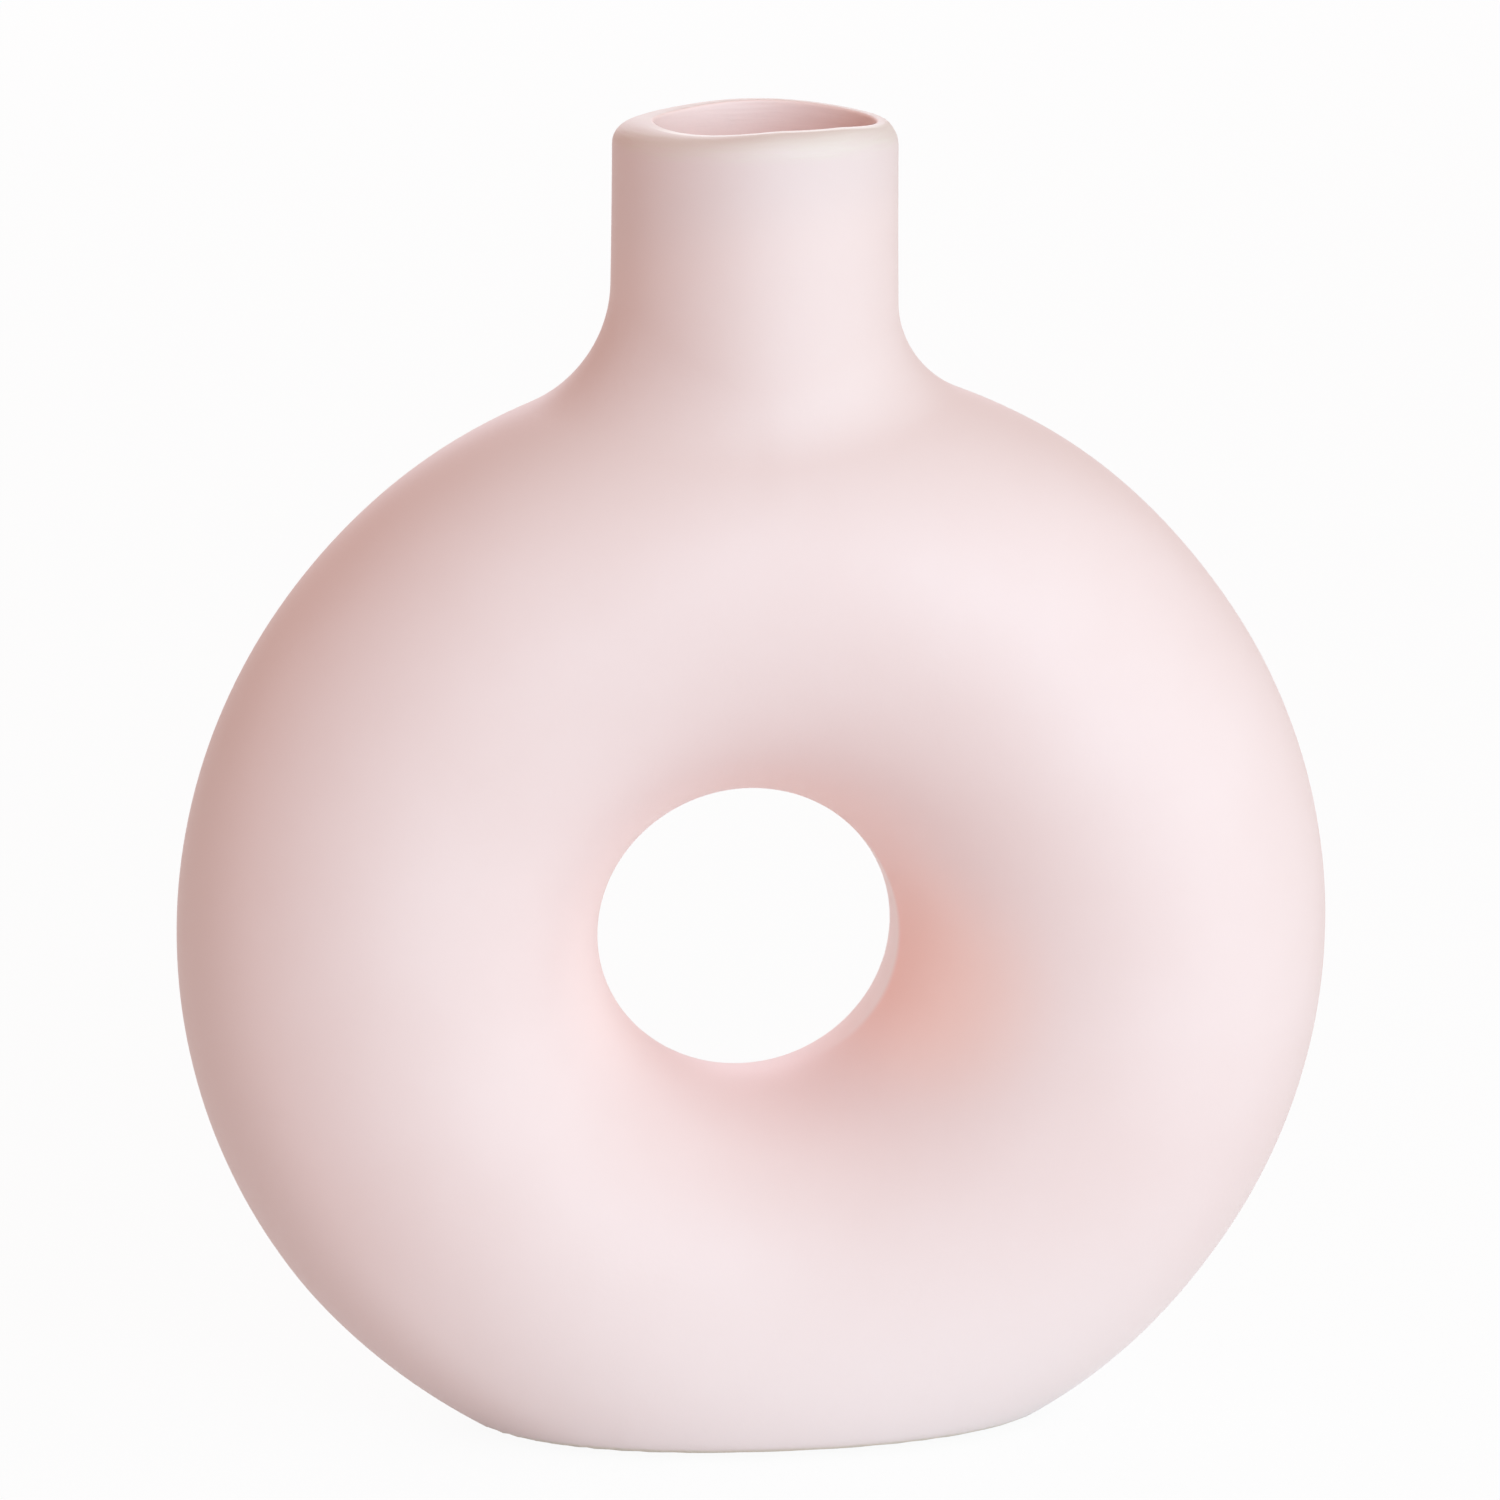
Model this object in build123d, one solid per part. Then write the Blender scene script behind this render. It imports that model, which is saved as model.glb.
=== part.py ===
from build123d import *
from build123d.topology import SkipClean
from math import radians, sqrt, tan
import os

# Donut vase: a hollow stoneware ring that stands upright on a flat oval foot, with a short bottle neck on top.
# Millimetres, +Z up, the front faces -Y, and the origin is on the table under the middle of the vase.

# The ring, a round tube bent into an upright circle
ring_radius = 55.0
tube_radius = 32.5

# The foot, cut flat across the bottom of the ring and rounded along its edge
foot_below_ring_centre = 75.5
foot_edge_radius = 2.5

# The neck, which flares out into the ring all round
neck_radius = 21.5
lip_above_ring_centre = 124.4
flare_radius = 17.5
lip_outer_radius = 3.5
lip_inner_chamfer = 0.8

# The fired wall
wall = 5.0

# The felt pads stuck under the foot, two by two
pad_radius = 5.0
pad_thickness = 1.0
pad_spacing_across = 56.0
pad_spacing_through = 18.0

# How far a cutting form runs past what it cuts
overrun = 10.0

# The hollow of the ring is drawn as short straight lengths with flat sides, because the walls hide it
hollow_lengths = 24
hollow_sides = 24

# Worked out from the sizes above
ring_centre_height = pad_thickness + foot_below_ring_centre
bore_radius = neck_radius - wall
hollow_radius = tube_radius - wall
floor_below_ring_centre = foot_below_ring_centre - wall
outer_radius = ring_radius + tube_radius

# The round of the foot's edge takes at most half of the height that is cut off the bottom of the ring
foot_round = min(foot_edge_radius, (outer_radius - foot_below_ring_centre) / 2)

# The flare is the path of a ball that rolls between neck and ring. At the front and the back of the neck the
# ball's centre lies this far from the neck's axis and this high, and it touches the inner walls where the
# hollow opens into the bore.
ball_from_axis = neck_radius + flare_radius
ball_from_tube_centre = tube_radius + flare_radius
ball_above_tube_centre = sqrt(ball_from_tube_centre**2 - ball_from_axis**2)
inner_touch_share = hollow_radius / ball_from_tube_centre
funnel_radius = ball_from_axis * inner_touch_share
funnel_foot_height = ring_radius + ball_above_tube_centre * inner_touch_share
funnel_top_height = ring_radius + ball_above_tube_centre


def solid_ring():
    """The ring as a full tube about the Y axis, with the seam of its surface inside the hole."""
    section = Pos(ring_radius, 0, 0) * Rot(0, 0, 180) * Circle(tube_radius)
    return revolve(section, Axis.Y, 360)


def solid_neck():
    """The neck as a full rod from inside the ring up to the lip, drawn in two half turns."""
    right = Vector(neck_radius, 0)
    left = Vector(-neck_radius, 0)
    back = ThreePointArc(right, Vector(0, neck_radius), left)
    front = ThreePointArc(left, Vector(0, -neck_radius), right)
    return Pos(0, 0, ring_radius) * extrude(make_face(Wire([back, front])), lip_above_ring_centre - ring_radius)


def below(depth):
    """A block that holds everything lower than a depth under the ring's centre."""
    width = 2 * (outer_radius + overrun)
    height = outer_radius + overrun - depth
    return Pos(0, 0, -depth) * Box(width, width, height, align=(Align.CENTER, Align.CENTER, Align.MAX))


def blended_neck_and_ring():
    """The ring and the neck in one, with the flare rolled between them.

    The union is left as it comes, because cleaning it joins the two halves of the edge where the neck meets the
    ring, and the flare needs both.
    """
    with SkipClean():
        joined = solid_ring() + solid_neck()
        where_they_meet = joined.edges().filter_by(GeomType.BSPLINE)
        return fillet(where_they_meet, flare_radius)


def outer_form():
    """The whole outside of the vase as one solid, with its foot, its flare and the outer round of its lip."""
    with SkipClean():
        form = blended_neck_and_ring() - below(foot_below_ring_centre)
        foot = form.faces().filter_by(GeomType.PLANE).sort_by(Axis.Z)[0]
        form = fillet(foot.edges(), foot_round)
        lip = form.faces().filter_by(GeomType.PLANE).sort_by(Axis.Z)[-1]
        return fillet(lip.edges(), lip_outer_radius)


def ring_hollow():
    """The space inside the ring, flat over the foot, in straight flat-sided lengths mitred together."""
    section = Pos(ring_radius, 0, 0) * RegularPolygon(hollow_radius, hollow_sides, major_radius=False)
    turn = 360 / hollow_lengths
    reach = outer_radius + overrun
    half_width = reach * tan(radians(turn / 2))
    wedge = make_face(Polyline((0, 0), (reach, -half_width), (reach, half_width), close=True))
    one_length = extrude(section, half_width, both=True) & extrude(Plane.XZ * wedge, reach, both=True)
    hollow = Part() + [Rot(0, turn * place, 0) * one_length for place in range(hollow_lengths)]
    return hollow - below(floor_below_ring_centre)


def neck_bore():
    """The round passage down the neck, which widens where it opens into the ring."""
    bore = Pos(0, 0, ring_radius) * Cylinder(
        bore_radius,
        lip_above_ring_centre - ring_radius + overrun,
        align=(Align.CENTER, Align.CENTER, Align.MIN),
    )
    funnel = Pos(0, 0, funnel_foot_height) * Cone(
        funnel_radius,
        bore_radius,
        funnel_top_height - funnel_foot_height,
        align=(Align.CENTER, Align.CENTER, Align.MIN),
    )
    return bore + funnel


def vase_body():
    """The fired stoneware: the outer form less its hollow, with the inner edge of the lip softened."""
    body = outer_form() - (ring_hollow() + neck_bore())
    lip = body.faces().filter_by(GeomType.PLANE).sort_by(Axis.Z)[-1]
    mouth_edge = lip.edges().sort_by(SortBy.LENGTH)[0]
    body = chamfer(mouth_edge, lip_inner_chamfer)
    return Pos(0, 0, ring_centre_height) * body


def foot_pads():
    """Four round felt pads between the foot and the table."""
    pad = Cylinder(pad_radius, pad_thickness, align=(Align.CENTER, Align.CENTER, Align.MIN))
    places = GridLocations(pad_spacing_across, pad_spacing_through, 2, 2)
    return Compound([place * pad for place in places])


if __name__ == "__main__":
    os.makedirs("parts", exist_ok=True)
    export_step(vase_body(), "parts/vase_body.step")
    export_step(foot_pads(), "parts/foot_pads.step")
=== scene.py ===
# A donut vase: a hollow stoneware ring that stands upright on a flat foot, with a short bottle neck.
# Metres, +Z up. The front faces -Y, and the origin is on the table under the middle of the vase.

import logging
from dataclasses import dataclass, field
from enum import Enum
from math import pi, radians
from typing import Any, Optional, Sequence, Union

import bpy
import bmesh
import numpy as np
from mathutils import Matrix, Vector


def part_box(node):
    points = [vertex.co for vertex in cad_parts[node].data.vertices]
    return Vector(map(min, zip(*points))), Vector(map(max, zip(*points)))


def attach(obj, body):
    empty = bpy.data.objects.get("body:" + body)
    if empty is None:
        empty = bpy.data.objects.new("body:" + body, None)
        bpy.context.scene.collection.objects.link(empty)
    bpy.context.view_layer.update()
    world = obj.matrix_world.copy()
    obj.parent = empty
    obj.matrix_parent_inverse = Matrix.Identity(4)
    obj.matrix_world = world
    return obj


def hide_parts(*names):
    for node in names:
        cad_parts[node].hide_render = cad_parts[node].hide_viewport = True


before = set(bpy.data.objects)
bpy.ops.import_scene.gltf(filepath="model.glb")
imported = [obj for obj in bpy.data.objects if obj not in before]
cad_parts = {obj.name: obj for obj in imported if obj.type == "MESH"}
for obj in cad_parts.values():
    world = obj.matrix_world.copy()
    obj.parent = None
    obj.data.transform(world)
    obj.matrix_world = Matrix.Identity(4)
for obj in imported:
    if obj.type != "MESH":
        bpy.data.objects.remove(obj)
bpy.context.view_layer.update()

log = logging.getLogger("donut_vase")

MILLIMETRE = 0.001
BODY = "root"

# The sRGB curve, which is straight near black and a power above that
SRGB_STRAIGHT_END = 0.04045
SRGB_STRAIGHT_SLOPE = 12.92
SRGB_OFFSET = 0.055
SRGB_POWER = 2.4
FULL_CHANNEL = 255

# The places of the colour sockets on a Mix node
MIX_FIRST_COLOUR = 6
MIX_SECOND_COLOUR = 7
MIX_COLOUR_OUTPUT = 2

Number = Union[int, float]
Colour = tuple[float, float, float, float]
Points = np.ndarray

# The white that the camera sees as white
FULL_WHITE: Colour = (1.0, 1.0, 1.0, 1.0)


def srgb(red: Number, green: Number, blue: Number) -> Colour:
    """Turn a screen colour of 0 to 255 a channel into the linear colour that shaders take.

    Args:
        red: the red channel, 0 to 255.
        green: the green channel, 0 to 255.
        blue: the blue channel, 0 to 255.

    Returns:
        The linear colour with full alpha.
    """
    linear = []
    for channel in (red, green, blue):
        share = channel / FULL_CHANNEL
        if share <= SRGB_STRAIGHT_END:
            linear.append(share / SRGB_STRAIGHT_SLOPE)
        else:
            linear.append(((share + SRGB_OFFSET) / (1.0 + SRGB_OFFSET)) ** SRGB_POWER)
    return (linear[0], linear[1], linear[2], 1.0)


def smooth_step(low: float, high: float, values: Points) -> Points:
    """Rise smoothly from 0 at low to 1 at high.

    Args:
        low: where the rise starts.
        high: where it ends.
        values: where it is wanted.

    Returns:
        The height of the rise at each value.
    """
    share = np.clip((values - low) / (high - low), 0.0, 1.0)
    return share * share * (3.0 - 2.0 * share)


def steps_to_one(count: int) -> Points:
    """Even steps from just above 0 up to 1."""
    return np.linspace(0.0, 1.0, count + 1)[1:]


class Operation(Enum):
    """The Math node operations that the finishes use."""

    ADD = "ADD"
    SUBTRACT = "SUBTRACT"
    MULTIPLY = "MULTIPLY"
    DIVIDE = "DIVIDE"
    MAXIMUM = "MAXIMUM"
    MINIMUM = "MINIMUM"


class Signal:
    """A shader socket that can stand in an expression, where each operator adds a Math node."""

    def __init__(self, tree: "ShaderTree", socket: Optional[bpy.types.NodeSocket]) -> None:
        """Wrap a socket of a shader tree.

        Args:
            tree: the tree that the socket belongs to.
            socket: an output socket, or None for a node that has none.
        """
        self.tree = tree
        self.socket = socket

    def _join(self, operation: Operation, first: "Value", second: "Value") -> "Signal":
        """Add one Math node.

        Args:
            operation: what the node does.
            first: its first value or link.
            second: its second value or link.

        Returns:
            The node's output.
        """
        return self.tree.node("ShaderNodeMath", {"operation": operation.value}, {0: first, 1: second})

    def __add__(self, other: "Value") -> "Signal":
        """self + other."""
        return self._join(Operation.ADD, self, other)

    def __radd__(self, other: "Value") -> "Signal":
        """other + self."""
        return self._join(Operation.ADD, other, self)

    def __sub__(self, other: "Value") -> "Signal":
        """self - other."""
        return self._join(Operation.SUBTRACT, self, other)

    def __rsub__(self, other: "Value") -> "Signal":
        """other - self."""
        return self._join(Operation.SUBTRACT, other, self)

    def __mul__(self, other: "Value") -> "Signal":
        """self * other."""
        return self._join(Operation.MULTIPLY, self, other)

    def __rmul__(self, other: "Value") -> "Signal":
        """other * self."""
        return self._join(Operation.MULTIPLY, other, self)

    def __truediv__(self, other: "Value") -> "Signal":
        """self / other."""
        return self._join(Operation.DIVIDE, self, other)

    def clamped(self) -> "Signal":
        """The value held between 0 and 1."""
        return self._join(Operation.MINIMUM, self._join(Operation.MAXIMUM, self, 0.0), 1.0)

    def rise(self, low: float, high: float) -> "Signal":
        """Rise smoothly from 0 at low to 1 at high; a high below low gives a fall.

        Args:
            low: the value where the rise starts.
            high: the value where it ends.

        Returns:
            The rise, from 0 to 1.
        """
        share = ((self - low) / (high - low)).clamped()
        return share * share * (3.0 - 2.0 * share)


Value = Union[Signal, Number, Sequence[float]]


@dataclass(frozen=True)
class Blots:
    """One kind of smooth noise over a surface.

    The size is how far apart its blots lie, in metres, and the detail is how many finer layers lie on top.
    The stretch is how many times closer the blots lie along X, Y and Z.
    """

    size: float
    detail: float
    stretch: tuple[float, float, float] = (1.0, 1.0, 1.0)


class ShaderTree:
    """A node tree with one method that adds every kind of node."""

    def __init__(self, tree: bpy.types.NodeTree) -> None:
        """Take over a node tree and empty it.

        Args:
            tree: the tree of a material or a world.
        """
        self.tree = tree
        tree.nodes.clear()

    def node(
        self,
        kind: str,
        settings: dict[str, Any],
        sockets: dict[Union[int, str], Value],
        output: Union[int, str] = 0,
    ) -> Signal:
        """Add a node, with its settings first and then the values or links of its sockets.

        Args:
            kind: the node's type.
            settings: its properties.
            sockets: input names or places, with a value or a signal each.
            output: the name or place of the output that is wanted.

        Returns:
            That output.
        """
        made = self.tree.nodes.new(kind)
        for name, setting in settings.items():
            setattr(made, name, setting)
        for name, value in sockets.items():
            if isinstance(value, Signal):
                self.tree.links.new(value.socket, made.inputs[name])
            else:
                made.inputs[name].default_value = value
        return Signal(self, made.outputs[output] if len(made.outputs) else None)

    def position(self) -> Signal:
        """The point on the surface, in metres in the object's own space, which is the row frame."""
        return self.node("ShaderNodeTexCoord", {}, {}, "Object")

    def scaled_position(self, scale: Sequence[float]) -> Signal:
        """The point on the surface with each of its coordinates multiplied."""
        return self.node(
            "ShaderNodeVectorMath", {"operation": "MULTIPLY"}, {0: self.position(), 1: tuple(scale)}
        )

    def axis(self, name: str) -> Signal:
        """One coordinate of the point on the surface: X, Y or Z."""
        return self.node("ShaderNodeSeparateXYZ", {}, {0: self.position()}, name)

    def distance(self, place: Sequence[float], counted: Sequence[float]) -> Signal:
        """How far the point on the surface lies from a line along the one axis that doesn't count.

        Args:
            place: a point of the line, with 0 along it.
            counted: 1 for each axis that counts and 0 for the line's own.

        Returns:
            The distance, in metres.
        """
        flat = self.scaled_position(counted)
        return self.node(
            "ShaderNodeVectorMath", {"operation": "DISTANCE"}, {0: flat, 1: tuple(place)}, "Value"
        )

    def distance_from_upright(self, place: tuple[float, float]) -> Signal:
        """How far the point on the surface lies from an upright line that stands at X and Y."""
        return self.distance((place[0], place[1], 0.0), (1.0, 1.0, 0.0))

    def distance_along_y(self, place: tuple[float, float]) -> Signal:
        """How far the point on the surface lies from a line that runs front to back at X and Z."""
        return self.distance((place[0], 0.0, place[1]), (1.0, 0.0, 1.0))

    def noise(self, blots: Blots) -> Signal:
        """Lay smooth noise over the surface.

        Args:
            blots: what the noise is like.

        Returns:
            The noise, from 0 to 1 with 0.5 as its middle.
        """
        sockets = {
            "Vector": self.scaled_position(blots.stretch),
            "Scale": 1.0 / blots.size,
            "Detail": blots.detail,
        }
        return self.node("ShaderNodeTexNoise", {}, sockets)

    def mix(self, share: Value, first: Value, second: Value) -> Signal:
        """Mix two colours.

        Args:
            share: 0 for the first colour, 1 for the second.
            first: a colour.
            second: a colour.

        Returns:
            The mixed colour.
        """
        return self.node(
            "ShaderNodeMix",
            {"data_type": "RGBA", "clamp_factor": True},
            {0: share, MIX_FIRST_COLOUR: first, MIX_SECOND_COLOUR: second},
            MIX_COLOUR_OUTPUT,
        )

    def bump(self, height: Signal, depth: float) -> Signal:
        """Turn a height from 0 to 1 into a normal.

        Args:
            height: the height over the surface.
            depth: what a height of 1 stands for, in metres.

        Returns:
            The normal.
        """
        return self.node("ShaderNodeBump", {}, {"Height": height, "Distance": depth, "Strength": 1.0})


def new_material(name: str) -> tuple[bpy.types.Material, ShaderTree]:
    """Make a material with an empty tree.

    Args:
        name: what the finish is called.

    Returns:
        The material and its tree.
    """
    material = bpy.data.materials.new(name)
    material.use_nodes = True
    return material, ShaderTree(material.node_tree)


@dataclass(frozen=True)
class Landmarks:
    """Where the finish finds the vase's parts: three heights, and the mouth's middle and radius."""

    top: float
    ring_centre: float
    foot: float
    mouth: tuple[float, float]
    mouth_radius: float


@dataclass(frozen=True)
class MattStoneware:
    """The matt pink outside, the cream band round the lip and the deeper pink inside the mouth, with
    painted light and shade on the outside, in the hole and along the lip's front edge.
    """

    # The clouded outside, with painted shade up the neck and along the left side, and painted light
    # towards the foot
    pink: Colour = srgb(245, 219, 215)
    deep_pink: Colour = srgb(240, 211, 206)
    clouds: Blots = Blots(28.0 * MILLIMETRE, 2.0)
    cloud_gain: float = 1.2
    cloud_cut: float = 0.3
    # Painted shade: a deeper pink up the neck
    painted_neck_shade: Colour = srgb(239, 212, 207)
    neck_shade_start: float = 62.0 * MILLIMETRE
    neck_shade_full: float = 42.0 * MILLIMETRE
    # Painted light: a paler pink towards the foot
    painted_foot_light: Colour = srgb(252, 233, 230)
    foot_light_reach: float = 50.0 * MILLIMETRE
    # Painted shade: a deeper pink along the left side of the ring
    painted_side_shade: Colour = srgb(234, 209, 205)
    side_shade_from: tuple[float, float] = (20.0 * MILLIMETRE, 12.0 * MILLIMETRE)
    side_shade_start: float = 96.0 * MILLIMETRE
    side_shade_full: float = 108.0 * MILLIMETRE
    bare_clay: Colour = srgb(231, 214, 196)
    clay_end: float = 1.2 * MILLIMETRE
    clay_full: float = 0.4 * MILLIMETRE

    # The hole, with painted light: paler inside it, a warm glow of painted bounce light low on its right,
    # and a painted backlight on its back edge
    # Painted light: a paler pink over the hole's wall
    painted_hole_light: Colour = srgb(253, 226, 221)
    hole_light_full: float = 24.0 * MILLIMETRE
    hole_light_end: float = 34.0 * MILLIMETRE
    hole_light_full_below: float = 8.0 * MILLIMETRE
    hole_light_end_below: float = 24.0 * MILLIMETRE
    # Painted bounce light: a warm glow low on the hole's right
    painted_bounce_glow: Colour = srgb(255, 214, 203)
    glow_place: tuple[float, float] = (24.0 * MILLIMETRE, 4.0 * MILLIMETRE)
    glow_full: float = 3.0 * MILLIMETRE
    glow_end: float = 22.0 * MILLIMETRE
    glow_back: float = 15.0 * MILLIMETRE
    glow_share: float = 0.8
    # Painted backlight: the palest pink on the back edge of the hole's right side
    painted_backlight: Colour = srgb(255, 245, 243)
    backlight_slant: float = 0.25
    backlight_start: float = -1.4 * MILLIMETRE
    backlight_full: float = 0.8 * MILLIMETRE
    backlight_from_across: float = 8.0 * MILLIMETRE
    backlight_full_across: float = 20.0 * MILLIMETRE

    # The band brushed round the lip
    cream: Colour = srgb(233, 213, 204)
    band_height: float = 3.5 * MILLIMETRE
    band_waver: float = 3.0 * MILLIMETRE
    waver: Blots = Blots(6.0 * MILLIMETRE, 3.0, (1.0, 1.0, 8.0))
    strokes: Blots = Blots(9.0 * MILLIMETRE, 4.0, (1.0, 1.0, 14.0))
    stroke_gain: float = 2.2
    stroke_cut: float = 0.1

    # The inside of the mouth, and a painted highlight along its front edge
    inner_pink: Colour = srgb(255, 219, 212)
    inner_cream: Colour = srgb(255, 226, 221)
    inner_cream_reach: float = 9.0 * MILLIMETRE
    inner_width: float = 0.1 * MILLIMETRE
    inner_depth: float = 34.0 * MILLIMETRE
    # Painted highlight: a pale line on the front inner edge of the lip
    painted_crest_highlight: Colour = srgb(255, 245, 237)
    highlight_width: float = 1.6 * MILLIMETRE
    highlight_depth: float = 4.0 * MILLIMETRE
    highlight_start: float = -3.0 * MILLIMETRE
    highlight_full: float = -13.0 * MILLIMETRE
    mask_edge: float = 0.5 * MILLIMETRE
    mask_fade: float = 2.0 * MILLIMETRE

    # The sheen and the relief
    grain: Blots = Blots(0.9 * MILLIMETRE, 3.0)
    pores: Blots = Blots(3.2 * MILLIMETRE, 2.0)
    grain_share: float = 0.5
    pore_share: float = 0.5
    grain_depth: float = 0.03 * MILLIMETRE
    brush_depth: float = 0.09 * MILLIMETRE
    roughness: float = 0.46
    grain_roughness: float = 0.10
    cloud_roughness: float = 0.05
    refraction: float = 1.45
    specular: float = 0.5
    sheen: float = 0.2
    sheen_roughness: float = 0.3

    def outside(self, tree: ShaderTree, places: Landmarks, height: Signal, clouds: Signal) -> Signal:
        """The clouded pink of the outside, with painted shade deeper up the neck and painted light paler
        towards the foot.

        Args:
            tree: the material's tree.
            places: where the parts of the vase are.
            height: the height of the point on the surface.
            clouds: soft blots, from 0 to 1.

        Returns:
            The colour.
        """
        clouded = (clouds * self.cloud_gain - self.cloud_cut).clamped()
        colour = tree.mix(clouded, self.pink, self.deep_pink)
        # Painted shade deepens the pink up the neck, and painted light pales it towards the foot
        neck_shade = height.rise(places.top - self.neck_shade_start, places.top - self.neck_shade_full)
        colour = tree.mix(neck_shade, colour, self.painted_neck_shade)
        return tree.mix(height.rise(places.foot + self.foot_light_reach, places.foot), colour, self.painted_foot_light)

    def paint_hole_light(self, tree: ShaderTree, places: Landmarks, colour: Signal) -> Signal:
        """Paint light in the hole: paler inside it, a warm glow of bounce light low on its right, and
        palest where the backlight catches its back edge on the right.

        Args:
            tree: the material's tree.
            places: where the parts of the vase are.
            colour: the colour of the outside.

        Returns:
            The colour with the hole's own tints.
        """
        centre = places.ring_centre
        across, through = tree.axis("X"), tree.axis("Y")
        # Painted light: the hole's wall turns paler, apart from its lowest part
        near = tree.distance_along_y((0.0, centre)).rise(self.hole_light_end, self.hole_light_full)
        upper = tree.axis("Z").rise(centre - self.hole_light_end_below, centre - self.hole_light_full_below)
        colour = tree.mix(near * upper, colour, self.painted_hole_light)
        # Painted bounce light: a warm glow low on the hole's right, on its front half
        glow_across, glow_below = self.glow_place
        from_glow = tree.distance_along_y((glow_across, centre - glow_below))
        glow = from_glow.rise(self.glow_end, self.glow_full) * through.rise(self.glow_back, 0.0)
        colour = tree.mix(glow * self.glow_share, colour, self.painted_bounce_glow)
        # Painted backlight: the palest pink where the hole's right side turns to the back
        backlight = (through + across * self.backlight_slant).rise(self.backlight_start, self.backlight_full)
        backlight *= near * across.rise(self.backlight_from_across, self.backlight_full_across)
        return tree.mix(backlight, colour, self.painted_backlight)

    def paint_left_shade(self, tree: ShaderTree, places: Landmarks, colour: Signal) -> Signal:
        """Paint shade along the left side of the ring, as a deeper pink.

        Args:
            tree: the material's tree.
            places: where the parts of the vase are.
            colour: the colour so far.

        Returns:
            The colour with the deeper side.
        """
        side_across, side_above = self.side_shade_from
        # Painted shade: a deeper pink towards the outer left edge of the ring
        from_middle = tree.distance_along_y((side_across, places.ring_centre + side_above))
        return tree.mix(from_middle.rise(self.side_shade_start, self.side_shade_full), colour, self.painted_side_shade)

    def mouth_mask(self, tree: ShaderTree, places: Landmarks, width: float, depth: float) -> Signal:
        """1 in the upper neck over the mouth and a little round it, and 0 elsewhere.

        Args:
            tree: the material's tree.
            places: where the parts of the vase are.
            width: how far past the mouth's radius the mask reaches.
            depth: how far down from the lip it reaches.

        Returns:
            The mask.
        """
        radius = places.mouth_radius + width
        within = tree.distance_from_upright(places.mouth).rise(radius + self.mask_edge, radius)
        above_its_end = tree.axis("Z") - (places.top - depth)
        return within * above_its_end.rise(0.0, self.mask_fade)

    def in_the_mouth(self, tree: ShaderTree, places: Landmarks, colour: Signal) -> Signal:
        """Colour the inside of the mouth and paint a highlight along its front edge.

        Args:
            tree: the material's tree.
            places: where the parts of the vase are.
            colour: the colour so far.

        Returns:
            The colour with the mouth's own and the painted highlight.
        """
        near_top = tree.axis("Z").rise(places.top - self.inner_cream_reach, places.top)
        inner = tree.mix(near_top, self.inner_pink, self.inner_cream)
        inside = self.mouth_mask(tree, places, self.inner_width, self.inner_depth)
        colour = tree.mix(inside, colour, inner)
        # Painted highlight: a pale line on the lip's front inner edge
        line = self.mouth_mask(tree, places, self.highlight_width, self.highlight_depth)
        line *= tree.axis("Y").rise(self.highlight_start, self.highlight_full)
        return tree.mix(line, colour, self.painted_crest_highlight)

    def material(self, places: Landmarks) -> bpy.types.Material:
        """Make the material.

        Args:
            places: where the parts of the vase are.

        Returns:
            The material.
        """
        material, tree = new_material("matt_stoneware")
        height = tree.axis("Z")
        clouds = tree.noise(self.clouds)
        grain = tree.noise(self.grain)
        strokes = tree.noise(self.strokes)
        wavering = height + tree.noise(self.waver) * self.band_waver
        band = wavering.rise(places.top - self.band_height, places.top)
        brushed = (band * (strokes * self.stroke_gain - self.stroke_cut)).clamped()
        colour = self.outside(tree, places, height, clouds)
        colour = self.paint_hole_light(tree, places, colour)
        colour = self.paint_left_shade(tree, places, colour)
        colour = tree.mix(brushed, colour, self.cream)
        colour = self.in_the_mouth(tree, places, colour)
        under = height.rise(places.foot + self.clay_end, places.foot + self.clay_full)
        colour = tree.mix(under, colour, self.bare_clay)
        relief = grain * self.grain_share + tree.noise(self.pores) * self.pore_share
        relief += band * strokes * (self.brush_depth / self.grain_depth)
        roughness = self.roughness + grain * self.grain_roughness + clouds * self.cloud_roughness
        shader = tree.node(
            "ShaderNodeBsdfPrincipled",
            {},
            {
                "Base Color": colour,
                "Roughness": roughness,
                "Normal": tree.bump(relief, self.grain_depth),
                "IOR": self.refraction,
                "Specular IOR Level": self.specular,
                "Sheen Weight": self.sheen,
                "Sheen Roughness": self.sheen_roughness,
            },
        )
        tree.node("ShaderNodeOutputMaterial", {}, {"Surface": shader})
        return material


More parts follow.
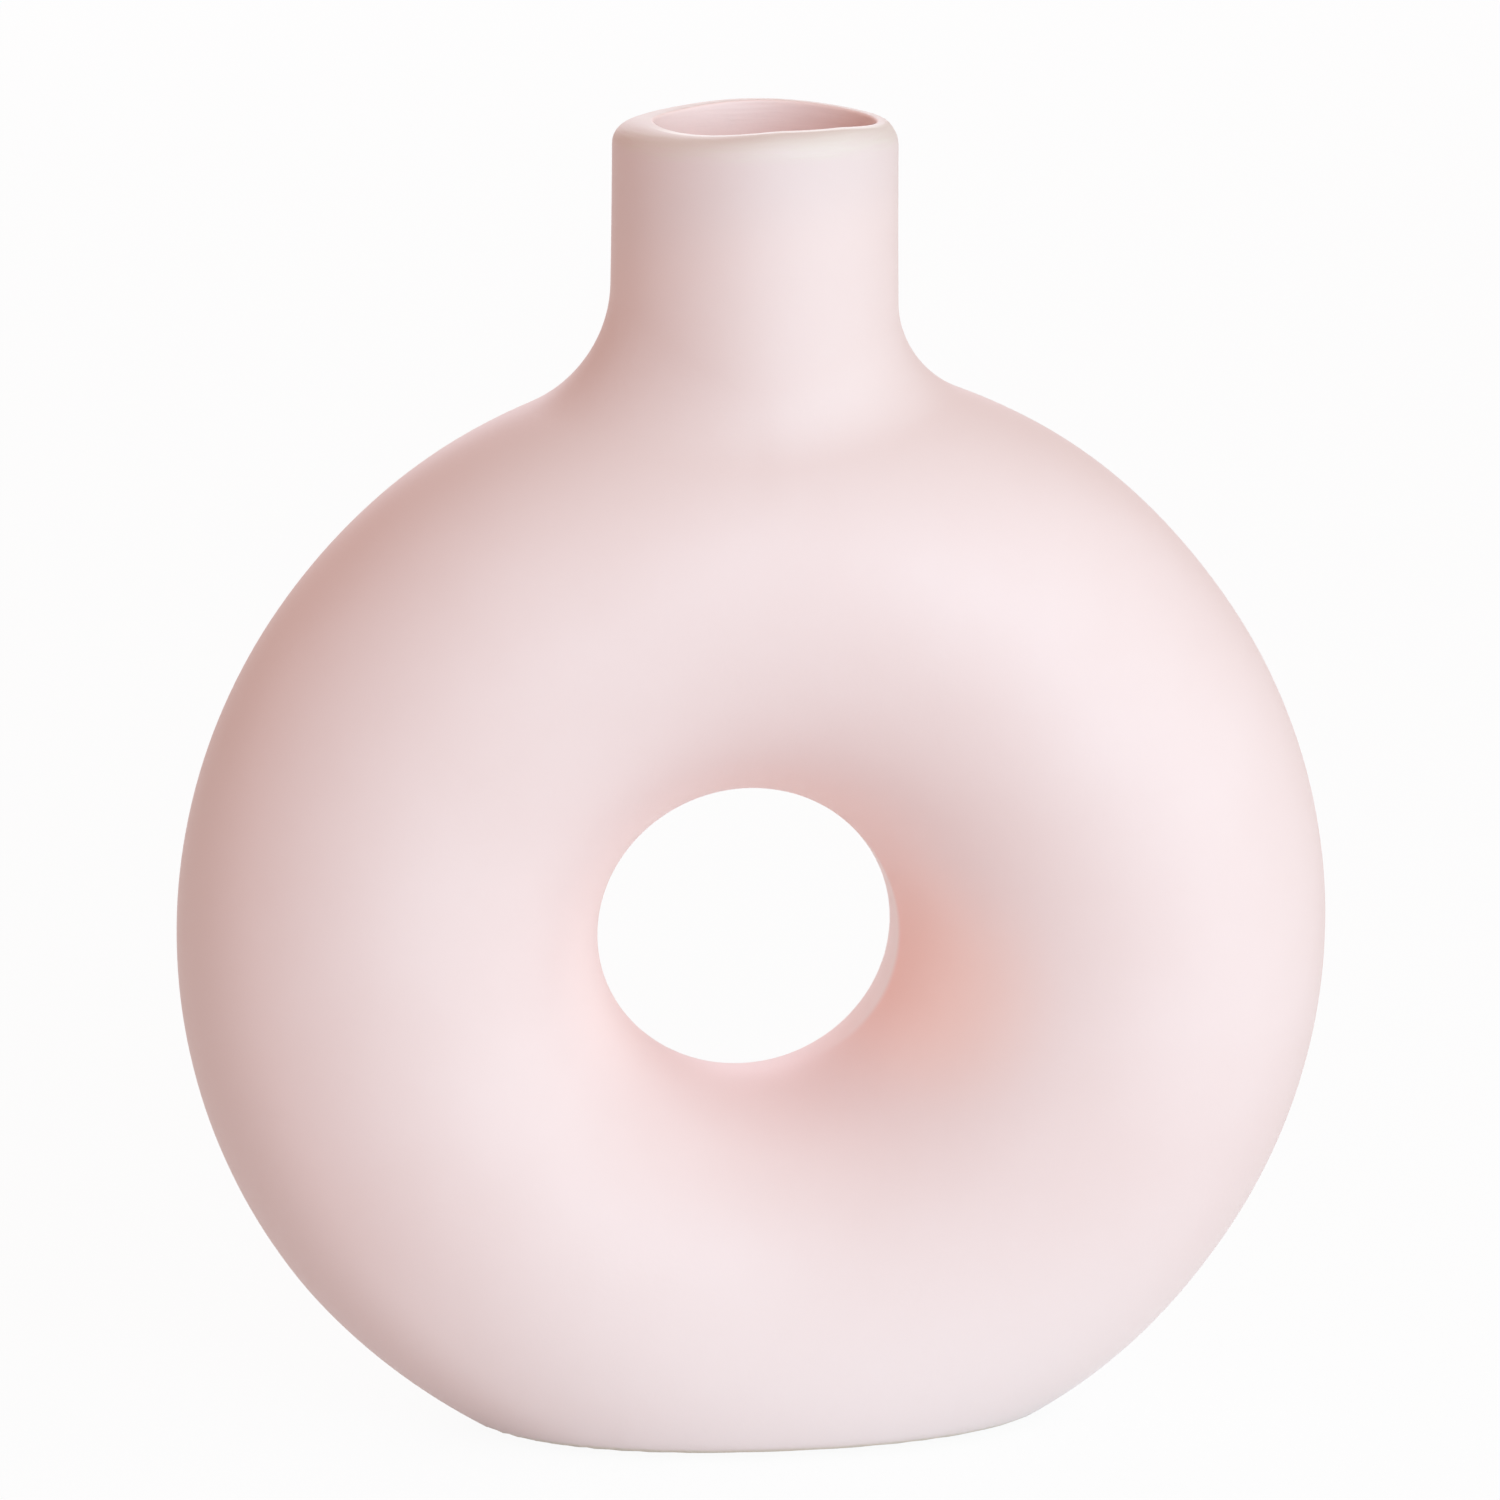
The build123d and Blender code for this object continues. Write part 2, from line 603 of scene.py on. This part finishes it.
@dataclass(frozen=True)
class PressedFelt:
    """The off-white felt of the foot pads, with its matted fibres."""

    light: Colour = srgb(226, 218, 206)
    dark: Colour = srgb(196, 186, 172)
    fibres: Blots = Blots(0.6 * MILLIMETRE, 4.0, (1.0, 2.5, 1.0))
    mats: Blots = Blots(2.2 * MILLIMETRE, 2.0)
    fibre_share: float = 0.8
    mat_share: float = 0.4
    dark_cut: float = 0.1
    fibre_depth: float = 0.15 * MILLIMETRE
    roughness: float = 0.85
    fibre_roughness: float = 0.1
    sheen: float = 0.4
    sheen_roughness: float = 0.5

    def material(self) -> bpy.types.Material:
        """Make the material.

        Returns:
            The material.
        """
        material, tree = new_material("pressed_felt")
        fibres = tree.noise(self.fibres)
        lightness = fibres * self.fibre_share + tree.noise(self.mats) * self.mat_share - self.dark_cut
        shader = tree.node(
            "ShaderNodeBsdfPrincipled",
            {},
            {
                "Base Color": tree.mix(lightness.clamped(), self.dark, self.light),
                "Roughness": self.roughness + fibres * self.fibre_roughness,
                "Normal": tree.bump(fibres, self.fibre_depth),
                "Sheen Weight": self.sheen,
                "Sheen Roughness": self.sheen_roughness,
            },
        )
        tree.node("ShaderNodeOutputMaterial", {}, {"Surface": shader})
        return material


@dataclass(frozen=True)
class PaleTable:
    """The plain white table, which shows as nearly white and keeps a soft shadow of the vase."""

    white: Colour = srgb(236, 235, 235)
    lift: float = 0.94

    def material(self) -> bpy.types.Material:
        """Make the material.

        Returns:
            The material.
        """
        material, tree = new_material("pale_table")
        surface = tree.node("ShaderNodeBsdfDiffuse", {}, {"Color": self.white})
        shown = tree.node("ShaderNodeEmission", {}, {"Color": FULL_WHITE, "Strength": 1.0})
        camera_ray = tree.node("ShaderNodeLightPath", {}, {}, "Is Camera Ray")
        glossy_ray = tree.node("ShaderNodeLightPath", {}, {}, "Is Glossy Ray")
        seen = (camera_ray + glossy_ray).clamped()
        mixed = tree.node("ShaderNodeMixShader", {}, {0: seen * self.lift, 1: surface, 2: shown})
        tree.node("ShaderNodeOutputMaterial", {}, {"Surface": mixed})
        return material


@dataclass(frozen=True)
class HandWork:
    """How the hand-finished vase departs from its true form, in metres and radians."""

    # The hole and the ring's shoulder on both sides of the neck
    hole_shift_x: float = -1.45 * MILLIMETRE
    hole_shift_z: float = 0.22 * MILLIMETRE
    shoulder_swell: float = 0.54 * MILLIMETRE
    shoulder_lean: float = 0.19 * MILLIMETRE
    shoulder_full: float = radians(30)
    shoulder_end: float = radians(55)
    shoulder_reach: float = 25.0 * MILLIMETRE

    # The foot
    foot_shift: float = 0.68 * MILLIMETRE
    foot_shift_start: float = 50.0 * MILLIMETRE
    foot_shift_end: float = 75.0 * MILLIMETRE

    # The flare, the neck and the mouth
    flare_lean: float = 2.45 * MILLIMETRE
    neck_lean: float = 0.45 * MILLIMETRE
    mouth_shift: float = 1.7 * MILLIMETRE
    mouth_reach: float = 42.0 * MILLIMETRE

    # The uneven lip: its mean drop, and the size and the place of 1, 2, 3 and 4 waves round it
    lip_mean_drop: float = 0.54 * MILLIMETRE
    lip_waves: tuple[float, ...] = (
        0.12 * MILLIMETRE,
        0.42 * MILLIMETRE,
        0.20 * MILLIMETRE,
        0.11 * MILLIMETRE,
    )
    lip_wave_azimuths: tuple[float, ...] = (radians(-12), radians(-78), radians(-59), radians(6))
    lip_reach: float = 14.0 * MILLIMETRE

    def flare_change(self, azimuth: Points) -> Points:
        """How much the flare's radius grows: by the most on the left, and below zero on the right."""
        return -self.flare_lean * np.cos(azimuth)

    def swell_shoulder(self, points: Points, outer_radius: float) -> None:
        """Let the ring swell a little on both sides of the neck.

        Args:
            points: the points, measured from the ring's centre, which are moved in place.
            outer_radius: the outer radius of the ring.
        """
        reach = np.hypot(points[:, 0], points[:, 2])
        turn = np.arctan2(points[:, 0], points[:, 2])
        swell = self.shoulder_swell + self.shoulder_lean * np.sign(turn)
        swell *= 1.0 - smooth_step(self.shoulder_full, self.shoulder_end, np.abs(turn))
        swell *= 1.0 - smooth_step(outer_radius, outer_radius + self.shoulder_reach, reach)
        swell *= smooth_step(outer_radius - self.shoulder_reach, outer_radius, reach)
        points[:, 0] += swell * np.sin(turn)
        points[:, 2] += swell * np.cos(turn)

    def shift_foot(self, points: Points) -> None:
        """Set the foot a little to the right.

        Args:
            points: the points, measured from the ring's centre, which are moved in place.
        """
        near_foot = smooth_step(self.foot_shift_start, self.foot_shift_end, -points[:, 2])
        points[:, 0] += self.foot_shift * near_foot

    def shift_hole(self, points: Points, ring_radius: float, tube_radius: float) -> None:
        """Set the hole off centre, so that the tube is thinner on one side, and keep the outline.

        Args:
            points: the points, measured from the ring's centre, which are moved in place.
            ring_radius: the radius of the ring's centreline.
            tube_radius: the radius of its tube.
        """
        reach = np.hypot(points[:, 0], points[:, 2])
        toward_x = points[:, 0] / reach
        toward_z = points[:, 2] / reach
        shift = self.hole_shift_x * toward_x + self.hole_shift_z * toward_z
        inward = np.clip((ring_radius + tube_radius - reach) / (2 * tube_radius), 0.0, 1.0)
        points[:, 0] += toward_x * shift * inward
        points[:, 2] += toward_z * shift * inward

    def lip_drop(self, azimuth: Points) -> Points:
        """How far the uneven lip lies under its true height.

        Args:
            azimuth: the angle round the neck, from +X towards the back.

        Returns:
            The drop, never negative.
        """
        drop = np.full_like(azimuth, self.lip_mean_drop)
        for number, (wave, place) in enumerate(zip(self.lip_waves, self.lip_wave_azimuths), start=1):
            drop -= wave * np.cos(number * (azimuth - place))
        return np.maximum(drop, 0.0)

    def trim_lip(self, points: Points, top: float, bore_radius: float, neck_radius: float) -> None:
        """Lower the lip unevenly, lean the left of the neck in and set the mouth off centre.

        Args:
            points: the points, measured from the ring's centre, which are moved in place.
            top: the height of the lip above the ring's centre.
            bore_radius: the radius of the bore.
            neck_radius: the radius of the neck.
        """
        azimuth = np.arctan2(points[:, 1], points[:, 0])
        near_lip = smooth_step(top - self.lip_reach, top, points[:, 2])
        near_mouth = smooth_step(top - self.mouth_reach, top, points[:, 2])
        from_axis = np.hypot(points[:, 0], points[:, 1])
        inner = 1.0 - smooth_step(bore_radius, neck_radius, from_axis)
        points[:, 2] -= near_lip * self.lip_drop(azimuth)
        paint_left_shade = smooth_step(0.0, neck_radius, -points[:, 0])
        shift = inner * self.mouth_shift + paint_left_shade * (1.0 - inner) * self.neck_lean
        points[:, 0] += near_mouth * shift


@dataclass
class FiredBody:
    """The fired stoneware shell: ring, foot, flare, neck and lip, with one even wall."""

    # The CAD body's box, and the sizes that it doesn't give
    box_low: Vector
    box_high: Vector
    wall: float = 5.0 * MILLIMETRE
    bore_radius: float = 16.5 * MILLIMETRE
    lip_above_ring_centre: float = 124.4 * MILLIMETRE
    foot_edge_radius: float = 2.5 * MILLIMETRE
    flare_radius: float = 17.5 * MILLIMETRE
    lip_outer_radius: float = 3.5 * MILLIMETRE
    lip_inner_radius: float = 0.5 * MILLIMETRE

    # How finely the mesh is drawn
    steps_around: int = 256
    steps_across: int = 120
    opening_steps_around: int = 29
    opening_steps_across: int = 24
    shoulder_rows: int = 16
    flare_rows: int = 18
    neck_rows: int = 30
    lip_rows: int = 9
    foot_curve_steps: int = 1440

    hand_work: HandWork = field(default_factory=HandWork)
    finish: MattStoneware = field(default_factory=MattStoneware)

    def __post_init__(self) -> None:
        """Work out the driving sizes from the box of the CAD body."""
        self.tube_radius = self.box_high.y
        self.ring_radius = self.box_high.x - self.tube_radius
        self.ring_centre = self.box_high.z - self.lip_above_ring_centre
        self.foot_depth = self.ring_centre - self.box_low.z
        self.foot_ball_height = self.foot_edge_radius - self.foot_depth
        self.core_radius = self.tube_radius - self.foot_edge_radius
        self.neck_radius = self.bore_radius + self.wall

    def ring_points(self, turn: Points, across: Points, inset: float) -> Points:
        """Points on the tube of the ring, with its foot cut flat.

        Args:
            turn: angles round the ring, from the top towards +X.
            across: angles round the tube, from its outermost line towards the front.
            inset: how far the skin lies inside the outer one.

        Returns:
            The points, measured from the ring's centre.
        """
        radius = self.tube_radius - inset
        reach = self.ring_radius + radius * np.cos(across)
        points = np.stack([reach * np.sin(turn), -radius * np.sin(across), reach * np.cos(turn)], axis=1)
        return self.cut_foot(points, inset)

    def foot_curve(self) -> Points:
        """The oval that the centre of a ball follows as it rolls round inside the edge of the foot.

        Returns:
            Points along the oval, measured from the ring's centre.
        """
        height, core = self.foot_ball_height, self.core_radius
        turn = np.linspace(0.0, 2.0 * pi, self.foot_curve_steps, endpoint=False)
        x = np.sqrt((self.ring_radius + core) ** 2 - height**2) * np.cos(turn)
        off_line = np.hypot(x, height) - self.ring_radius
        y = np.sqrt(np.maximum(core**2 - off_line**2, 0.0)) * np.sign(np.sin(turn))
        return np.stack([x, y, np.full_like(x, height)], axis=1)

    def cut_foot(self, points: Points, inset: float) -> Points:
        """Press the bottom of the ring flat, with a rounded edge.

        Args:
            points: points on the ring, measured from its centre.
            inset: how far the skin lies inside the outer one.

        Returns:
            The points, with the low ones moved onto the foot and its edge.
        """
        height, core = self.foot_ball_height, self.core_radius
        chosen = np.flatnonzero(points[:, 2] < height)
        if not len(chosen):
            return points
        low = points[chosen]
        curve = self.foot_curve()
        gaps = low[:, None, :2] - curve[None, :, :2]
        nearest = curve[np.argmin((gaps**2).sum(axis=2), axis=1)]
        away = low - nearest
        outward = away / np.linalg.norm(away, axis=1, keepdims=True)
        # The edge is round as far as the rolling ball touches the tube, and the tube goes on above that
        reach = np.hypot(nearest[:, 0], nearest[:, 2])
        where_tube_starts = nearest[:, 2] * (1.0 - self.ring_radius / reach) / core
        rounded = outward[:, 2] < where_tube_starts
        off_line = np.hypot(low[:, 0], height) - self.ring_radius
        over_flat = off_line**2 + low[:, 1] ** 2 < core**2
        moved = np.where(rounded[:, None], nearest + outward * (self.foot_edge_radius - inset), low)
        moved[over_flat] = low[over_flat]
        moved[over_flat, 2] = inset - self.foot_depth
        result = points.copy()
        result[chosen] = moved
        return result

    def flare_centres(self, azimuth: Points) -> Points:
        """Where the ball's centre lies as it rolls round between the neck and the ring.

        Args:
            azimuth: angles round the neck, from +X towards the back.

        Returns:
            The centres, measured from the ring's centre.
        """
        radius = self.flare_radius_at(azimuth)
        x = (self.neck_radius + radius) * np.cos(azimuth)
        y = (self.neck_radius + radius) * np.sin(azimuth)
        from_line = np.sqrt((self.tube_radius + radius) ** 2 - y**2)
        return np.stack([x, y, np.sqrt((self.ring_radius + from_line) ** 2 - x**2)], axis=1)

    def flare_radius_at(self, azimuth: Points) -> Points:
        """The radius of the flare at each angle round the neck."""
        return self.flare_radius + self.hand_work.flare_change(azimuth)

    def opening_loop(self) -> tuple[Points, Points]:
        """Grid places round the opening in the top of the ring, where the shoulder starts.

        Returns:
            The steps round the ring and the steps across the tube, one each for every place of the loop.
        """
        wide, deep = self.opening_steps_around, self.opening_steps_across
        right = [(wide, step) for step in range(-deep, deep)]
        front = [(step, deep) for step in range(wide, -wide, -1)]
        left = [(-wide, step) for step in range(deep, -deep, -1)]
        back = [(step, -deep) for step in range(-wide, wide)]
        loop = np.array(right + front + left + back)
        return loop[:, 0], loop[:, 1]

    def stem_rows(self, inset: float) -> list[Points]:
        """Rows of points from the opening in the ring over the shoulder and the flare and up the neck.

        Args:
            inset: how far the skin lies inside the outer one.

        Returns:
            The rows, from the lowest to the highest.
        """
        around, across = self.opening_loop()
        turn = around * 2.0 * pi / self.steps_around
        over = across * 2.0 * pi / self.steps_across
        start = self.ring_points(turn, over, 0.0)
        azimuth = np.arctan2(start[:, 1], start[:, 0])
        centres = self.flare_centres(azimuth)
        rows = self.shoulder_part(turn, over, centres, inset)
        rows += self.flare_part(azimuth, centres, rows[-1], inset)
        return rows + self.neck_part(rows[-1], inset)

    def shoulder_part(self, turn: Points, over: Points, centres: Points, inset: float) -> list[Points]:
        """Rows of points on the ring, from the opening to the lower border of the flare.

        Args:
            turn: the angle round the ring where each column starts.
            over: the angle round the tube where each column starts.
            centres: the ball's centre for each column.
            inset: how far the skin lies inside the outer one.

        Returns:
            The rows.
        """
        reach = np.hypot(centres[:, 0], centres[:, 2])
        further_round = np.arctan2(centres[:, 0], centres[:, 2]) - turn
        further_over = np.arctan2(-centres[:, 1], reach - self.ring_radius) - over
        return [
            self.ring_points(turn + further_round * share, over + further_over * share, inset)
            for share in steps_to_one(self.shoulder_rows)
        ]

    def flare_part(self, azimuth: Points, centres: Points, start: Points, inset: float) -> list[Points]:
        """Rows of points over the flare, along the ball from where it touches the ring to the neck.

        Args:
            azimuth: the angle of each column round the neck.
            centres: the ball's centre for each column.
            start: the row where the flare starts.
            inset: how far the skin lies inside the outer one.

        Returns:
            The rows.
        """
        to_neck = np.stack([-np.cos(azimuth), -np.sin(azimuth), np.zeros_like(azimuth)], axis=1)
        to_ring = start - centres
        to_ring /= np.linalg.norm(to_ring, axis=1, keepdims=True)
        sweep = np.arccos((to_neck * to_ring).sum(axis=1))[:, None]
        radius = self.flare_radius_at(azimuth)[:, None] + inset
        rows = []
        for share in steps_to_one(self.flare_rows):
            toward = to_ring * np.sin((1.0 - share) * sweep) + to_neck * np.sin(share * sweep)
            rows.append(centres + toward / np.sin(sweep) * radius)
        return rows

    def neck_part(self, start: Points, inset: float) -> list[Points]:
        """Rows of points up the neck, from the flare to the rounded edge of the lip.

        Args:
            start: the row where the neck starts.
            inset: how far the skin lies inside the outer one.

        Returns:
            The rows.
        """
        edge_radius = self.lip_inner_radius if inset else self.lip_outer_radius
        climb = self.lip_above_ring_centre - edge_radius - start[:, 2]
        rows = []
        for share in steps_to_one(self.neck_rows):
            row = start.copy()
            row[:, 2] += climb * share
            rows.append(row)
        return rows

    def lip_rows_over(self, azimuth: Points) -> list[Points]:
        """Rows of points over the lip, from the outside of the neck to the bore.

        Args:
            azimuth: the angle of each column round the neck.

        Returns:
            The rows between the two skins.
        """
        top = self.lip_above_ring_centre
        toward_x, toward_y = np.cos(azimuth), np.sin(azimuth)
        profile = []
        for share in steps_to_one(self.lip_rows):
            lean = share * pi / 2.0
            radius = self.neck_radius - self.lip_outer_radius * (1.0 - np.cos(lean))
            profile.append((radius, top - self.lip_outer_radius * (1.0 - np.sin(lean))))
        for share in np.linspace(0.0, 1.0, self.lip_rows + 1)[:-1]:
            lean = share * pi / 2.0
            radius = self.bore_radius + self.lip_inner_radius * (1.0 - np.sin(lean))
            profile.append((radius, top - self.lip_inner_radius * (1.0 - np.cos(lean))))
        return [
            np.stack([radius * toward_x, radius * toward_y, np.full_like(azimuth, height)], axis=1)
            for radius, height in profile
        ]

    def ring_grid(self, inset: float) -> Points:
        """Every point of the ring's grid, steps round the ring first.

        Args:
            inset: how far the skin lies inside the outer one.

        Returns:
            The points, measured from the ring's centre.
        """
        around, across = np.meshgrid(
            np.arange(self.steps_around), np.arange(self.steps_across), indexing="ij"
        )
        turn = around.ravel() * 2.0 * pi / self.steps_around
        return self.ring_points(turn, across.ravel() * 2.0 * pi / self.steps_across, inset)

    def ring_faces(self) -> Points:
        """Every face of the ring's grid, apart from those in the opening.

        Returns:
            The grid places of four corners for each face.
        """
        around, across = np.meshgrid(
            np.arange(-self.steps_around // 2, self.steps_around // 2),
            np.arange(-self.steps_across // 2, self.steps_across // 2),
            indexing="ij",
        )
        around, across = around.ravel(), across.ravel()
        wide, deep = self.opening_steps_around, self.opening_steps_across
        open_here = (around >= -wide) & (around < wide) & (across >= -deep) & (across < deep)
        around, across = around[~open_here], across[~open_here]
        corners = ((0, 0), (1, 0), (1, 1), (0, 1))
        return np.stack([self.grid_place(around + a, across + b) for a, b in corners], axis=1)

    def grid_place(self, around: Points, across: Points) -> Points:
        """The place in the ring's grid of a step round the ring and a step across the tube."""
        return (around % self.steps_around) * self.steps_across + across % self.steps_across

    def mesh_data(self) -> tuple[Points, Points]:
        """The points and the faces of the whole closed shell.

        Returns:
            The points in the row frame, and four corners for each face.
        """
        grids = [self.ring_grid(0.0), self.ring_grid(self.wall)]
        grid_size = len(grids[0])
        outer_rows = self.stem_rows(0.0)
        azimuth = np.arctan2(outer_rows[-1][:, 1], outer_rows[-1][:, 0])
        rows = outer_rows + self.lip_rows_over(azimuth) + self.stem_rows(self.wall)[::-1]
        columns = len(azimuth)
        loop = self.grid_place(*self.opening_loop())
        row_places = [loop]
        for number in range(len(rows)):
            row_places.append(2 * grid_size + number * columns + np.arange(columns))
        row_places.append(loop + grid_size)
        ring_faces = self.ring_faces()
        faces = [ring_faces, ring_faces[:, ::-1] + grid_size]
        for lower, upper in zip(row_places[:-1], row_places[1:]):
            faces.append(np.stack([lower, np.roll(lower, -1), np.roll(upper, -1), upper], axis=1))
        points = np.concatenate(grids + rows)
        faces = np.concatenate(faces)
        used = np.unique(faces)
        place_of = np.full(len(points), -1)
        place_of[used] = np.arange(len(used))
        points = points[used]
        self.finish_by_hand(points)
        points[:, 2] += self.ring_centre
        return points, place_of[faces]

    def finish_by_hand(self, points: Points) -> None:
        """Let the hand-work move the points.

        Args:
            points: the points, measured from the ring's centre, which are moved in place.
        """
        self.hand_work.shift_hole(points, self.ring_radius, self.tube_radius)
        self.hand_work.swell_shoulder(points, self.ring_radius + self.tube_radius)
        self.hand_work.shift_foot(points)
        self.hand_work.trim_lip(points, self.lip_above_ring_centre, self.bore_radius, self.neck_radius)

    def build(self) -> bpy.types.Object:
        """Build the shell, dress it and let it stand for the CAD body.

        Returns:
            The piece.
        """
        points, faces = self.mesh_data()
        mesh = bpy.data.meshes.new("fired_body")
        mesh.from_pydata(points.tolist(), [], faces.tolist())
        closed = bmesh.new()
        closed.from_mesh(mesh)
        bmesh.ops.recalc_face_normals(closed, faces=closed.faces)
        closed.to_mesh(mesh)
        closed.free()
        mesh.shade_smooth()
        piece = bpy.data.objects.new("fired_body", mesh)
        bpy.context.scene.collection.objects.link(piece)
        places = Landmarks(
            top=self.box_high.z,
            ring_centre=self.ring_centre,
            foot=self.box_low.z,
            mouth=(self.hand_work.mouth_shift, 0.0),
            mouth_radius=self.bore_radius,
        )
        mesh.materials.append(self.finish.material(places))
        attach(piece, BODY)
        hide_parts("vase_body")
        return piece


@dataclass
class FootPads:
    """The four felt pads under the foot, which keep their CAD solids and get their felt here."""

    finish: PressedFelt = field(default_factory=PressedFelt)

    def build(self) -> bpy.types.Object:
        """Dress the CAD pads.

        Returns:
            The CAD node.
        """
        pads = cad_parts["foot_pads"]
        pads.data.materials.clear()
        pads.data.materials.append(self.finish.material())
        return pads


@dataclass(frozen=True)
class SoftBox:
    """A soft square studio lamp that faces a point of the vase."""

    name: str
    place: tuple[float, float, float]
    side: float
    watts: float
    colour: tuple[float, float, float]

    def build(self, target: Vector) -> None:
        """Hang the lamp.

        Args:
            target: the point that it faces.
        """
        data = bpy.data.lights.new(self.name, "AREA")
        data.shape = "SQUARE"
        data.size = self.side
        data.energy = self.watts
        data.color = self.colour
        lamp = bpy.data.objects.new(self.name, data)
        lamp.location = self.place
        lamp.rotation_euler = (target - Vector(self.place)).to_track_quat("-Z", "Y").to_euler()
        bpy.context.scene.collection.objects.link(lamp)


@dataclass
class Studio:
    """The table, the light and the camera."""

    table_side: float = 12.0
    middle: tuple[float, float, float] = (0.0, 0.0, 0.1)
    camera_place: tuple[float, float, float] = (-0.12036, -1.14431, 0.36618)
    camera_aim: tuple[float, float, float] = (-0.00056, 0.0, 0.10427)
    focal_length: float = 187.4
    sensor: float = 36.0
    ambient: Colour = (1.0, 0.75, 0.67, 1.0)
    ambient_strength: float = 0.6
    lamps: tuple[SoftBox, ...] = (
        SoftBox("front", place=(0.48, -1.32, 0.61), side=0.8, watts=11.9, colour=(0.55, 0.84, 0.99)),
        SoftBox("right", place=(1.22, -0.70, 0.61), side=0.8, watts=6.5, colour=(0.54, 0.89, 0.96)),
        SoftBox("behind", place=(0.0, 2.82, 1.13), side=1.6, watts=26.0, colour=(0.80, 0.88, 1.0)),
    )
    finish: PaleTable = field(default_factory=PaleTable)

    def build_table(self) -> bpy.types.Object:
        """Lay the table under the vase.

        Returns:
            The table.
        """
        half = self.table_side / 2.0
        mesh = bpy.data.meshes.new("table")
        corners = [(-half, -half, 0.0), (half, -half, 0.0), (half, half, 0.0), (-half, half, 0.0)]
        mesh.from_pydata(corners, [], [(0, 1, 2, 3)])
        table = bpy.data.objects.new("table", mesh)
        bpy.context.scene.collection.objects.link(table)
        mesh.materials.append(self.finish.material())
        return table

    def build_light(self) -> None:
        """Set the even light of the room and hang the lamps."""
        world = bpy.data.worlds.new("pale_room")
        bpy.context.scene.world = world
        world.use_nodes = True
        tree = ShaderTree(world.node_tree)
        room = tree.node(
            "ShaderNodeBackground", {}, {"Color": self.ambient, "Strength": self.ambient_strength}
        )
        seen = tree.node("ShaderNodeBackground", {}, {"Color": FULL_WHITE, "Strength": 1.0})
        camera_ray = tree.node("ShaderNodeLightPath", {}, {}, "Is Camera Ray")
        mixed = tree.node("ShaderNodeMixShader", {}, {0: camera_ray, 1: room, 2: seen})
        tree.node("ShaderNodeOutputWorld", {}, {"Surface": mixed})
        for lamp in self.lamps:
            lamp.build(Vector(self.middle))

    def build_camera(self) -> bpy.types.Object:
        """Stand the camera where the photograph was taken from.

        Returns:
            The camera.
        """
        data = bpy.data.cameras.new("camera")
        data.sensor_width = self.sensor
        data.sensor_fit = "HORIZONTAL"
        data.lens = self.focal_length
        camera = bpy.data.objects.new("camera", data)
        camera.location = self.camera_place
        aim = Vector(self.camera_aim) - Vector(self.camera_place)
        camera.rotation_euler = aim.to_track_quat("-Z", "Y").to_euler()
        bpy.context.scene.collection.objects.link(camera)
        bpy.context.scene.camera = camera
        return camera


def main() -> None:
    """Build the vase, its pads and the studio, in that order."""
    logging.basicConfig(level=logging.INFO, format="%(message)s")
    bpy.context.scene.view_settings.view_transform = "Standard"
    body = FiredBody(*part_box("vase_body")).build()
    log.info("%s has %d faces", body.name, len(body.data.polygons))
    pads = FootPads().build()
    log.info("%s is dressed in felt", pads.name)
    studio = Studio()
    table = studio.build_table()
    log.info("%s is laid", table.name)
    studio.build_light()
    camera = studio.build_camera()
    log.info("%s stands at the photograph's angle", camera.name)


if __name__ == "__main__":
    main()
